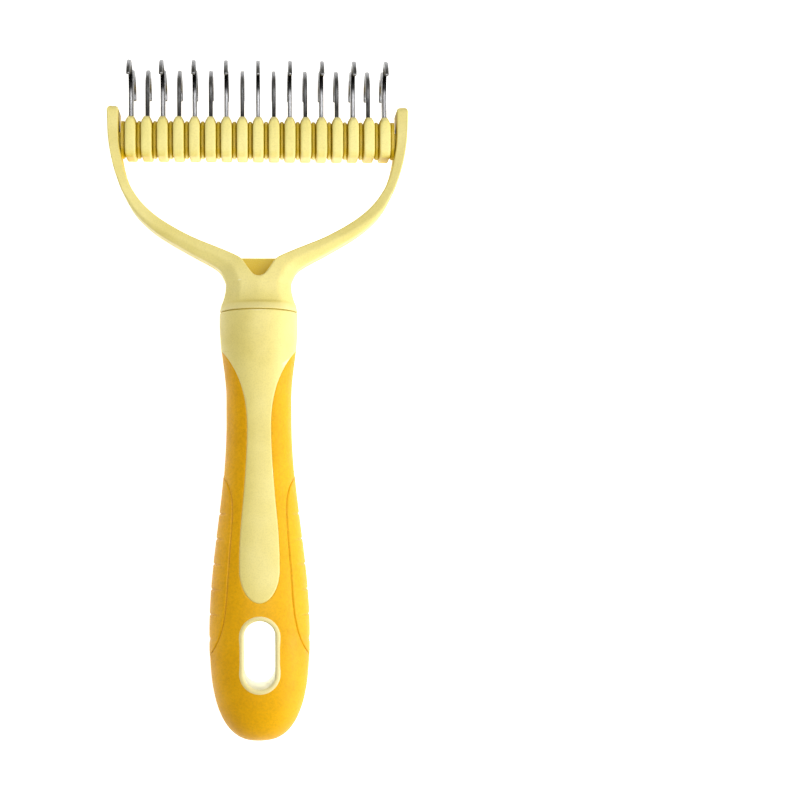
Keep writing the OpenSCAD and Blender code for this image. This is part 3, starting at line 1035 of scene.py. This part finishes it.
def grip_rubber():
    """Fine-grained rubber with paler rubbed patches and painted brown shade in its grooves."""
    n = Nodes("grip_rubber")
    deep, mid, light = RUBBER
    cloud = n.ramp(n.noise(60, 6, 0.62), (0.28, deep), (0.5, mid), (0.74, light))
    grain = n.ramp(n.noise(1200, 4, 0.7), (0.35, 0.76), (0.6, 1.0))
    colour = n.mix("MULTIPLY", 0.6, cloud, grain)
    rub = n.ramp(n.noise(24, 5, 0.6, distortion=0.6), (0.55, 0.0), (0.8, 0.25))
    colour = n.mix("MIX", rub, colour, RUBBED)
    # painted shade: the grooves darken to brown
    colour = n.mix("MIX", n.hollows(0.0012, 0.3, 0.85), colour, PAINTED_GROOVE_SHADE)
    n.join(colour, n.shader.inputs["Base Color"])
    n.join(n.ramp(n.noise(210, 5, 0.6), (0.3, 0.40), (0.7, 0.56)), n.shader.inputs["Roughness"])
    n.shader.inputs["Specular IOR Level"].default_value = 0.17
    n.bump((n.noise(260, 4, 0.55), 0.0005, 0.14), (n.noise(2200, 3, 0.7), 0.0001, 0.5))
    return n.material


def steel(name, colour, rough):
    """Brushed and smudged steel, with painted shade in its hollows and near black painted shade in the
    throats of the front hooks.
    """
    n = Nodes(name)
    brushed = n.noise(900, 4, 0.6, stretch=(6, 0.35, 1.5))
    smudge = n.noise(220, 4, 0.6)
    streaks = n.ramp(brushed, (0.32, scaled(colour, 0.5)), (0.52, colour), (0.74, scaled(colour, 1.3)))
    tone = n.mix("MULTIPLY", 0.6, streaks, n.ramp(smudge, (0.32, 0.5), (0.62, 1.0)))
    # painted shade in the steel's hollows
    tone = n.mix("MIX", n.hollows(0.008, 0.3, 0.9), tone, STEEL_SHADE)
    # painted shade: the throats lie from the hooks' centres up, between two depths in front of the
    # middle plane, and are painted near black
    throat_shade = n.rising("Y", hook_y - 2.5, hook_y + 0.5)
    for none, full in ((6.0, 4.6), (1.5, 3.0)):
        throat_shade = n.mix("MULTIPLY", 1.0, throat_shade, n.rising("Z", head_z + none, head_z + full))
    tone = n.mix("MIX", throat_shade, tone, PAINTED_THROAT_SHADE)
    n.join(tone, n.shader.inputs["Base Color"])
    n.shader.inputs["Metallic"].default_value = 1.0
    n.join(n.ramp(smudge, (0.3, rough * 0.75), (0.7, rough * 1.4)), n.shader.inputs["Roughness"])
    n.bump((n.noise(1400, 3, 0.6, stretch=(5, 0.3, 1.2)), 0.00002, 0.15))
    return n.material


def floor_material():
    """White paper that glows a little, so that it comes out as pure white as the photo's background."""
    n = Nodes("floor")
    n.join(n.ramp(n.noise(9, 4, 0.5), (0.3, 0.86), (0.7, 0.9)), n.shader.inputs["Base Color"])
    n.shader.inputs["Roughness"].default_value = 0.9
    n.shader.inputs["Emission Color"].default_value = (1, 1, 1, 1)
    n.shader.inputs["Emission Strength"].default_value = 0.9
    return n.material


# ---------------------------------------------------------------- building


def dress(obj, material):
    """Gives obj one material and no other."""
    obj.data.materials.clear()
    obj.data.materials.append(material)


def finish_piece(obj, material, node, sharp):
    """A visible piece of the rake: its look, its body and the CAD node that it stands for."""
    dress(obj, material)
    shade(obj, sharp)
    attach(obj, "root")
    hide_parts(node)


plastic = pale_plastic("pale_plastic", (0.80, 0.69, 0.235), OLIVE_PAINTED_SHADE)
rubber = grip_rubber()
# painted light: the bar is the same plastic as the rest of the head, made lighter so its ribs come out
# as bright as in stronger light
bar_plastic_painted_lighter = pale_plastic("bar_plastic_painted_lighter", (0.90, 0.79, 0.27), OLIVE_PAINTED_SHADE)
# painted light: the slot rim is the handle core's plastic made paler, with its hollow walls painted near
# white where they would be shaded
rim_plastic_painted_light = pale_plastic("rim_plastic_painted_light", (0.80, 0.69, 0.31), (0.97, 0.95, 0.78))
blade_steel = steel("blade_steel", (0.27, 0.27, 0.28), 0.34)
rod_steel = steel("rod_steel", (0.55, 0.55, 0.57), 0.3)

finish_piece(make_grip(), rubber, "grip", sharp=50)
finish_piece(make_core(), plastic, "handle_core", sharp=50)
finish_piece(make_slot_rim(), rim_plastic_painted_light, "handle_core", sharp=60)
finish_piece(make_yoke(), plastic, "yoke", sharp=40)
finish_piece(make_bar(), bar_plastic_painted_lighter, "comb_bar", sharp=38)
# every other blade, from the first to the last, has a front hook as well
for index, (name, x) in enumerate(zip(blade_nodes, rib_xs)):
    blade = make_blade("steel_" + name, x, two_sided=index % 2 == 0)
    finish_piece(blade, blade_steel, name, sharp=50)
dress(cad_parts["tie_rod"], rod_steel)

# ---------------------------------------------------------------- stage, lights and camera

floor_spans = 30  # half the floor's width, in spans of the rake
low, high = cad_box
middle = (low + high) / 2
span = (high - low).length


def make_floor():
    """A wide sheet that the rake lies on."""
    half = floor_spans * span
    z = low.z
    mesh = bpy.data.meshes.new("floor")
    corners = [(-half, -half, z), (half, -half, z), (half, half, z), (-half, half, z)]
    mesh.from_pydata(corners, [], [(0, 1, 2, 3)])
    mesh.materials.append(floor_material())
    link("floor", mesh)


def area_light(name, place, size, power):
    """A soft square light that looks at the rake's middle. Place and size are in spans of the rake."""
    data = bpy.data.lights.new(name, "AREA")
    data.shape = "SQUARE"
    data.size = size * span
    data.energy = power
    light = bpy.data.objects.new(name, data)
    light.location = middle + Vector(place) * span
    light.rotation_mode = "QUATERNION"
    light.rotation_quaternion = (middle - light.location).to_track_quat("-Z", "Y")
    bpy.context.scene.collection.objects.link(light)


def make_world():
    """A studio that is bright near the horizon and darker and warmer overhead."""
    shades = ((0.0, (1.2, 1.2, 1.2)), (0.12, (0.55, 0.53, 0.45)), (0.55, (0.30, 0.285, 0.22)))
    strength = 0.62
    world = bpy.data.worlds.new("studio")
    world.use_nodes = True
    tree = world.node_tree
    place = tree.nodes.new("ShaderNodeTexCoord")
    split = tree.nodes.new("ShaderNodeSeparateXYZ")
    ramp = tree.nodes.new("ShaderNodeValToRGB")
    ramp.color_ramp.elements.new(shades[1][0])
    for element, (position, colour) in zip(ramp.color_ramp.elements, shades):
        element.position = position
        element.color = (*colour, 1)
    tree.links.new(place.outputs["Generated"], split.inputs["Vector"])
    tree.links.new(split.outputs["Z"], ramp.inputs["Fac"])
    tree.links.new(ramp.outputs["Color"], tree.nodes["Background"].inputs["Color"])
    tree.nodes["Background"].inputs["Strength"].default_value = strength
    bpy.context.scene.world = world


def make_camera():
    """The photo's camera, with its picture shifted to leave room for the rake that isn't built."""
    data = bpy.data.cameras.new("camera")
    data.sensor_width = 36.0
    data.lens = 81.4
    data.shift_x, data.shift_y = 0.05, 0.05
    data.clip_start, data.clip_end = 0.01, 20
    camera = bpy.data.objects.new("camera", data)
    camera.location = Vector((0.1, -19.5, 577.0)) * MM
    yaw, pitch, roll = (math.radians(a) for a in (-3.18, 0.82, -0.17))
    turn = Matrix.Rotation(roll, 3, "Z") @ Matrix.Rotation(pitch, 3, "X") @ Matrix.Rotation(yaw, 3, "Y")
    camera.rotation_mode = "QUATERNION"
    camera.rotation_quaternion = turn.to_quaternion()
    bpy.context.scene.collection.objects.link(camera)
    bpy.context.scene.camera = camera


make_floor()
make_world()
area_light("key", (2.6, -0.9, 1.2), 1.4, 3.3)
area_light("top", (0.4, 0.3, 3.0), 1.6, 3.3)
make_camera()
bpy.context.scene.view_settings.view_transform = "Standard"
